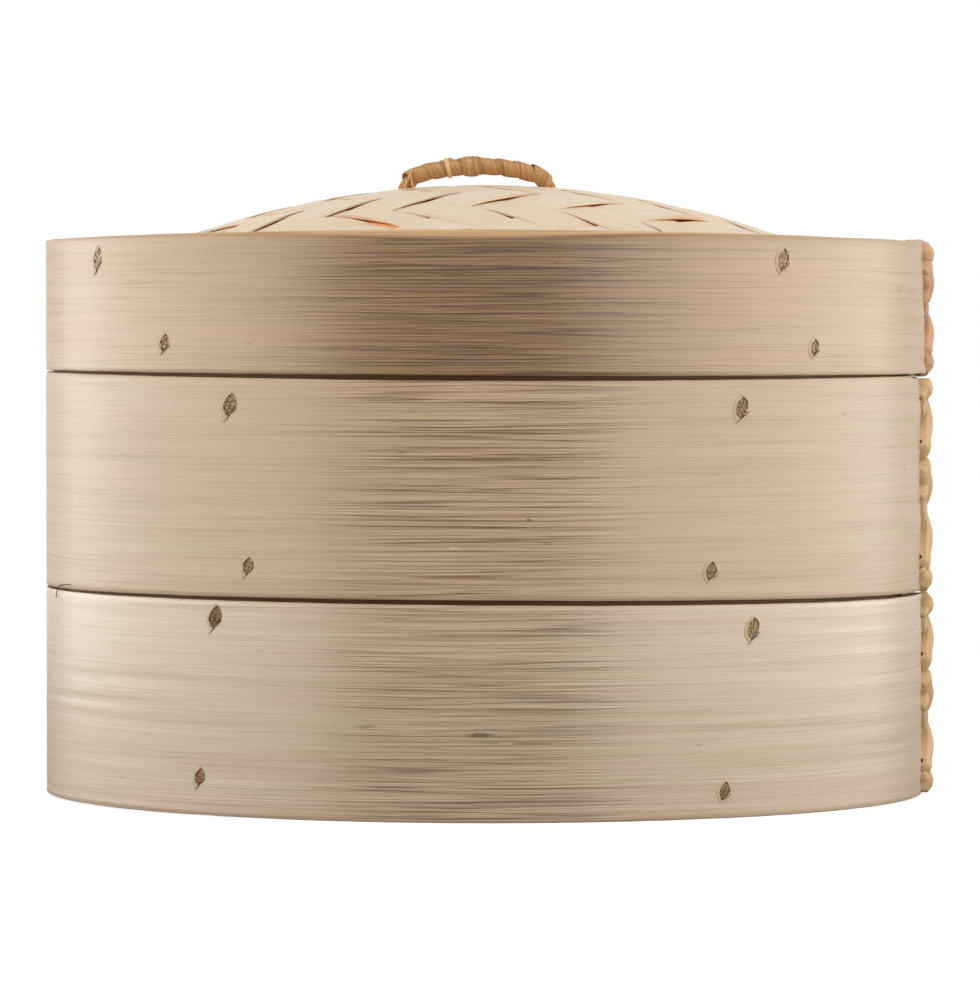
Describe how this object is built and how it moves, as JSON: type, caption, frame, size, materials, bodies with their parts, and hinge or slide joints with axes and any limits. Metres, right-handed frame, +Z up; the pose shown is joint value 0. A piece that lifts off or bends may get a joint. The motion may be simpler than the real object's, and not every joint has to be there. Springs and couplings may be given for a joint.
{
  "type": "bamboo steamer",
  "caption": "Stacked bamboo steamer: slatted baskets of bent hoops under a lid with a woven dome and a cane-wrapped loop handle.",
  "frame": {"origin": "on the axis of the hoops, at the lower edge of the lower basket, on the surface it stands on", "axes": "+Z up along the axis of the hoops; -Y to the front; +X to the right, where the laps are laced"},
  "size_m": [0.2536, 0.2502, 0.1818],
  "materials": {
    "bamboo_strip": "raw split bamboo, matt",
    "bamboo_slat": "raw planed bamboo, matt",
    "woven_splint": "raw bamboo splint, satin",
    "cane": "split cane, satin",
    "bamboo_peg": "end grain, rough"
  },
  "bodies": {
    "lower_basket": {"lower_outer_hoop": "bamboo_strip", "lower_inner_hoop": "bamboo_strip", "lower_floor_ring": "bamboo_strip", "lower_batten_1": "bamboo_slat", "lower_batten_2": "bamboo_slat", "lower_slat_1": "bamboo_slat", "lower_slat_2": "bamboo_slat", "lower_slat_3": "bamboo_slat", "lower_slat_4": "bamboo_slat", "lower_slat_5": "bamboo_slat", "lower_slat_6": "bamboo_slat", "lower_slat_7": "bamboo_slat", "lower_slat_8": "bamboo_slat", "lower_slat_9": "bamboo_slat", "lower_lacing": "cane", "lower_peg_1": "bamboo_peg", "lower_peg_2": "bamboo_peg", "lower_peg_3": "bamboo_peg", "lower_peg_4": "bamboo_peg", "lower_peg_5": "bamboo_peg"},
    "upper_basket": {"upper_outer_hoop": "bamboo_strip", "upper_inner_hoop": "bamboo_strip", "upper_floor_ring": "bamboo_strip", "upper_batten_1": "bamboo_slat", "upper_batten_2": "bamboo_slat", "upper_slat_1": "bamboo_slat", "upper_slat_2": "bamboo_slat", "upper_slat_3": "bamboo_slat", "upper_slat_4": "bamboo_slat", "upper_slat_5": "bamboo_slat", "upper_slat_6": "bamboo_slat", "upper_slat_7": "bamboo_slat", "upper_slat_8": "bamboo_slat", "upper_slat_9": "bamboo_slat", "upper_lacing": "cane", "upper_peg_1": "bamboo_peg", "upper_peg_2": "bamboo_peg", "upper_peg_3": "bamboo_peg", "upper_peg_4": "bamboo_peg", "upper_peg_5": "bamboo_peg"},
    "lid": {"lid_outer_hoop": "bamboo_strip", "lid_top_hoop": "bamboo_strip", "lid_inner_hoop": "bamboo_strip", "lid_dome_weave": "woven_splint", "lid_dome_lining": "woven_splint", "lid_lacing": "cane", "lid_handle_core": "cane", "lid_handle_wrap": "cane", "lid_upper_peg_1": "bamboo_peg", "lid_upper_peg_2": "bamboo_peg", "lid_upper_peg_3": "bamboo_peg", "lid_upper_peg_4": "bamboo_peg", "lid_lower_peg_1": "bamboo_peg", "lid_lower_peg_2": "bamboo_peg", "lid_lower_peg_3": "bamboo_peg", "lid_lower_peg_4": "bamboo_peg"}
  },
  "joints": [
    {"name": "upper_basket_lift", "type": "slide", "parent": "lower_basket", "child": "upper_basket", "axis": [0, 0, 1], "range_m": [0, 0.1]},
    {"name": "lid_lift", "type": "slide", "parent": "upper_basket", "child": "lid", "axis": [0, 0, 1], "range_m": [0, 0.1]}
  ]
}
